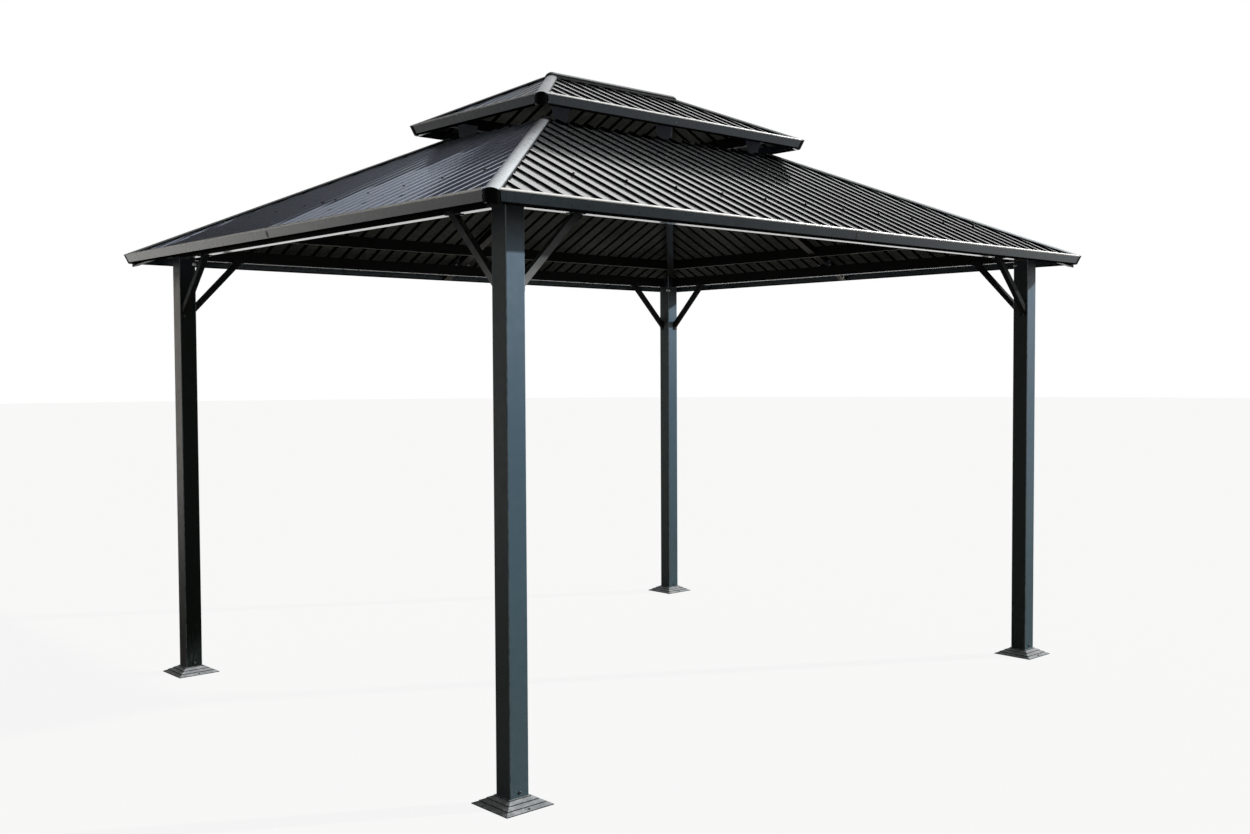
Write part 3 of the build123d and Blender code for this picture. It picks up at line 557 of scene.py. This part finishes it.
def dress(node):
    """Give a CAD node the finish whose name starts its own, or else the frame's coat."""
    key = max((key for key in FINISHES if node.startswith(key)), key=len)
    for slot in NODES[node].material_slots:
        slot.link = "OBJECT"
        slot.material = FINISHES[key]


# ---------------------------------------------------------------- fixings and small plates
def turned(shape, at, axis, outline, size, sides):
    """A solid of revolution on a surface: outline is radius and height along the axis, as shares of size."""
    turn = Vector(axis).to_track_quat("Z", "Y")
    loops = []
    for radius, height in ((radius * size, height * size) for radius, height in outline):
        ring = [Vector((radius * cos(2 * pi * i / sides), radius * sin(2 * pi * i / sides), height))
                for i in range(sides)]
        loops.append([shape.verts.new(Vector(at) + turn @ point) for point in ring])
    for low, high in zip(loops, loops[1:]):
        for i in range(sides):
            shape.faces.new((low[i - 1], low[i], high[i], high[i - 1]))
    shape.faces.new(loops[-1])


def hex_screw(shape, at, axis, size):
    """A flanged hexagon head: size is the flange's radius."""
    turned(shape, at, axis, ((1.0, 0.0), (1.0, 0.14), (0.9, 0.22), (0.6, 0.25)), size, 20)
    turned(shape, at, axis, ((0.64, 0.2), (0.64, 0.66), (0.52, 0.78)), size, 6)


def pan_screw(shape, at, axis, size):
    """A low domed head with a dimple for the driver: size is its radius."""
    dome = ((1.0, 0.0), (1.0, 0.12), (0.92, 0.32), (0.7, 0.5), (0.4, 0.58), (0.3, 0.58), (0.22, 0.3))
    turned(shape, at, axis, dome, size, 20)


def plate(shape, centre, along, out, size):
    """A thin plate with rounded edges: size is along, across and through."""
    across = out.cross(along)
    turn = Matrix((along, across, out)).transposed().to_4x4()
    corners = bmesh.ops.create_cube(shape, size=1.0)["verts"]
    matrix = Matrix.Translation(centre) @ turn @ Matrix.Diagonal((*size, 1))
    bmesh.ops.transform(shape, matrix=matrix, verts=corners)
    edges = list({edge for corner in corners for edge in corner.link_edges})
    bmesh.ops.bevel(shape, geom=edges, offset=min(size) * 0.3, segments=2, affect="EDGES")


def fixing(name, shape, material):
    """One piece of the gazebo from finished mesh code."""
    bmesh.ops.recalc_face_normals(shape, faces=shape.faces)
    mesh = bpy.data.meshes.new(name)
    shape.to_mesh(mesh)
    shape.free()
    mesh.materials.append(material)
    piece = bpy.data.objects.new(name, mesh)
    bpy.context.scene.collection.objects.link(piece)
    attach(piece, "root")


def ways(side):
    """Outward and along directions of one side."""
    turn = radians(SIDES[side])
    return Vector((sin(turn), -cos(turn), 0)), Vector((cos(turn), sin(turn), 0))


def tilted(out, out_share, up_share):
    """A direction between outward and up, or down where up_share is negative."""
    return (out * out_share + UP * up_share).normalized()


def reach(node, out):
    """How far a node's box reaches along a horizontal direction."""
    low, high = (Vector(corner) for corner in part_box(node))
    return max(low.dot(out), high.dot(out))


def post_middle(corner):
    """The point on the ground under the middle of a post."""
    low, high = (Vector(point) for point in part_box(f"post_{corner}"))
    middle = (low + high) / 2
    return Vector((middle.x, middle.y, 0))


def post_half():
    """Half of a post's width, from where the front beam starts."""
    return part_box("beam_front")[0][0] - post_middle("front_left").x


# A screw's or bolt's size is the radius of its head or flange. Rises, drops and insets start from the
# edge that the function names, and a face says how far the surface looks outward and up.
COVER_SCREW, COVER_SCREW_RISE = 0.0065, 0.016
SKIRT_SCREW, SKIRT_SCREW_INSET, SKIRT_SCREW_RISE = 0.004, 0.0078, 0.0064
SKIRT_FACE = (0.39, 0.92)


def make_cover_screws():
    """On the fronts and backs: one screw through each post above its cover and one in the cover's skirt."""
    shape = bmesh.new()
    top = Vector(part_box("base_covers")[1])
    skirt = top.y - post_middle("back_left").y
    for corner in CORNERS:
        for way in (-1, 1):
            out = Vector((0, way, 0))
            middle = post_middle(corner)
            above = middle + out * post_half() + UP * (top.z + COVER_SCREW_RISE)
            pan_screw(shape, above, out, COVER_SCREW)
            on_skirt = middle + out * (skirt - SKIRT_SCREW_INSET) + UP * SKIRT_SCREW_RISE
            pan_screw(shape, on_skirt, tilted(out, *SKIRT_FACE), SKIRT_SCREW)
    fixing("cover_screws", shape, PAINTED)


SADDLE_BOLT, SADDLE_BOLT_RISE = 0.007, 0.0085
TAB_BOLT, TAB_BOLT_RISE = 0.006, 0.0066


def make_brace_bolts():
    """Painted bolts in the knee braces' saddles and foot tabs."""
    shape = bmesh.new()
    for corner, (sign_x, sign_y) in CORNERS.items():
        low, high = (Vector(point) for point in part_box(f"knee_braces_{corner}"))
        for inward, out in (
            (Vector((-sign_x, 0, 0)), Vector((0, sign_y, 0))),
            (Vector((0, -sign_y, 0)), Vector((sign_x, 0, 0))),
        ):
            end = max(low.dot(inward), high.dot(inward)) - SADDLE_LENGTH / 2
            cheek = max(low.dot(out), high.dot(out))
            saddle = inward * end + out * cheek + UP * (BEAM_LOW + SADDLE_BOLT_RISE)
            hex_screw(shape, saddle, out, SADDLE_BOLT)
            tab = post_middle(corner) + out * (post_half() / 2) + inward * (post_half() + TAB_THICKNESS)
            hex_screw(shape, tab + UP * (low.z + TAB_BOLT_RISE), inward, TAB_BOLT)
    fixing("brace_bolts", shape, PAINTED)


PLATED_BOLT, PLATED_BOLT_DROP, PLATED_BOLT_INSET = 0.0075, 0.022, 0.0095


def make_plated_bolts():
    """Bright bolts below the beams' ends on the posts' inner faces."""
    shape = bmesh.new()
    aside = post_half() - PLATED_BOLT_INSET
    for corner, (sign_x, sign_y) in CORNERS.items():
        to_side, to_end = Vector((-sign_x, 0, 0)), Vector((0, -sign_y, 0))
        for inward, across in ((to_side, to_end), (to_end, to_side)):
            at = post_middle(corner) + inward * post_half() + across * aside
            hex_screw(shape, at + UP * (BEAM_LOW - PLATED_BOLT_DROP), inward, PLATED_BOLT)
    fixing("plated_bolts", shape, PLATED)


BRACKET = (0.034, 0.034, 0.0025)
# From the beam's top and the rafter's side to the middle of each plate.
BRACKET_LIFT, BRACKET_ASIDE = 0.0014, 0.0013
BRACKET_BOLT, BRACKET_BOLT_RISE, BRACKET_BOLT_INSET = 0.0095, 0.0012, 0.008


def make_rafter_brackets():
    """Angle brackets that hold each side's middle rafter on its beam, with bright bolts."""
    shape, bolts = bmesh.new(), bmesh.new()
    low, high = (Vector(point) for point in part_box("beam_front"))
    leg = BRACKET[0] / 2
    for side in SIDES:
        out, along = ways(side)
        middle = out * (reach(f"beam_{side}", out) - (high.y - low.y) / 2)
        for way in (-1, 1):
            foot = middle + along * way * (RAFTER_HALF + leg) + UP * (BEAM_HIGH + BRACKET_LIFT)
            plate(shape, foot, along, UP, BRACKET)
            back = middle + along * way * (RAFTER_HALF + BRACKET_ASIDE) + UP * (BEAM_HIGH + leg)
            plate(shape, back, UP, along * way, BRACKET)
            hex_screw(bolts, foot + UP * BRACKET_BOLT_RISE - out * BRACKET_BOLT_INSET, UP, BRACKET_BOLT)
    fixing("rafter_brackets", shape, PLATE)
    fixing("rafter_bolts", bolts, PLATED)


CLIP = (0.014, 0.026, 0.0012)
CLIP_INSET, CLIP_RISE, CLIP_LIFT = 0.0068, 0.02, 0.0005
CLIP_RIVET, CLIP_RIVET_LIFT = 0.0032, 0.001
FASCIA_FACE = (0.938, -0.346)


def make_splice_clips():
    """A small riveted clip over the joint in each eave trim."""
    shape = bmesh.new()
    for side in SIDES:
        out, along = ways(side)
        face = tilted(out, *FASCIA_FACE)
        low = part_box(f"eave_trim_{side}")[0][2]
        centre = out * (reach(f"eave_trim_{side}", out) - CLIP_INSET) + UP * (low + CLIP_RISE)
        plate(shape, centre + face * CLIP_LIFT, along, face, CLIP)
        pan_screw(shape, centre + face * CLIP_RIVET_LIFT, face, CLIP_RIVET)
    fixing("splice_clips", shape, PAINTED)


ROOF_SCREW, ROOF_SCREW_RUN, ROOF_SCREW_EVERY, ROOF_SCREW_MARGIN = 0.0058, 0.3, 3, 0.06
LAP_WIDTH, LAP_THICKNESS, LAP_LIFT = 0.012, 0.0011, 0.0005
LAP_FROM, LAP_TO = 0.04, 1.06
LAP_SCREW, LAP_SCREW_RUN = 0.008, 0.29


def on_sheet(side, run, aside, lift):
    """A point over a main roof sheet: run in from the eave, aside along it, lifted off its top."""
    out, along = ways(side)
    node = f"roof_panel_{side}"
    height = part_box(node)[0][2] + run * tan(ROOF_PITCH) + (SHEET_THICKNESS + lift) / cos(ROOF_PITCH)
    return out * (reach(node, out) - run) + along * aside + UP * height


def make_roof_screws():
    """Painted screws through the rib tops along the purlin, and the laps of the end sheets."""
    screws, laps = bmesh.new(), bmesh.new()
    for side in SIDES:
        out, along = ways(side)
        normal = out * sin(ROOF_PITCH) + UP * cos(ROOF_PITCH)
        slope = UP * sin(ROOF_PITCH) - out * cos(ROOF_PITCH)
        row_half = reach(f"roof_panel_{side}", along) - ROOF_SCREW_RUN - ROOF_SCREW_MARGIN
        first = 0.5 if side in ("front", "back") else 0.0
        for rib in range(-RIBS_EACH_WAY, RIBS_EACH_WAY + 1, ROOF_SCREW_EVERY):
            aside = (rib + first) * RIB_PITCH
            if abs(aside) < row_half:
                hex_screw(screws, on_sheet(side, ROOF_SCREW_RUN, aside, RIB_HEIGHT), normal, ROOF_SCREW)
        if side in ("left", "right"):
            aside = -SHEET_SEAM - RIB_HALF - LAP_WIDTH / 2
            middle = (on_sheet(side, LAP_FROM, aside, LAP_LIFT) + on_sheet(side, LAP_TO, aside, LAP_LIFT)) / 2
            length = (LAP_TO - LAP_FROM) / cos(ROOF_PITCH)
            plate(laps, middle, slope, normal, (length, LAP_WIDTH, LAP_THICKNESS))
            hex_screw(screws, on_sheet(side, LAP_SCREW_RUN, -SHEET_SEAM, RIB_HEIGHT), normal, LAP_SCREW)
    fixing("roof_screws", screws, PAINTED)
    fixing("sheet_laps", laps, PAINTED)


HOOK_AT = -0.13  # along the beam, from its middle
HOOK_BENDS = ((0, 0), (0, -0.012), (0.003, -0.021), (0.011, -0.026), (0.019, -0.021), (0.021, -0.011))
HOOK_RADIUS = 0.0025


def make_hook():
    """A white curtain hook left hanging under the right beam."""
    low, high = (Vector(point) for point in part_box("beam_right"))
    curve = bpy.data.curves.new("curtain_hook", "CURVE")
    curve.dimensions = "3D"
    curve.bevel_depth = HOOK_RADIUS
    curve.bevel_resolution = 3
    line = curve.splines.new("NURBS")
    line.points.add(len(HOOK_BENDS) - 1)
    for point, (aside, drop) in zip(line.points, HOOK_BENDS):
        point.co = ((low.x + high.x) / 2, HOOK_AT + aside, low.z + drop, 1)
    line.order_u = 3
    line.use_endpoint_u = True
    curve.materials.append(hook_plastic())
    hook = bpy.data.objects.new("curtain_hook", curve)
    bpy.context.scene.collection.objects.link(hook)
    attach(hook, "root")


make_camera()
make_world()
make_key()
make_floor()
make_flags()
for node in NODES:
    dress(node)
make_cover_screws()
make_brace_bolts()
make_plated_bolts()
make_rafter_brackets()
make_splice_clips()
make_roof_screws()
make_hook()

bpy.context.scene.view_settings.view_transform = "Standard"
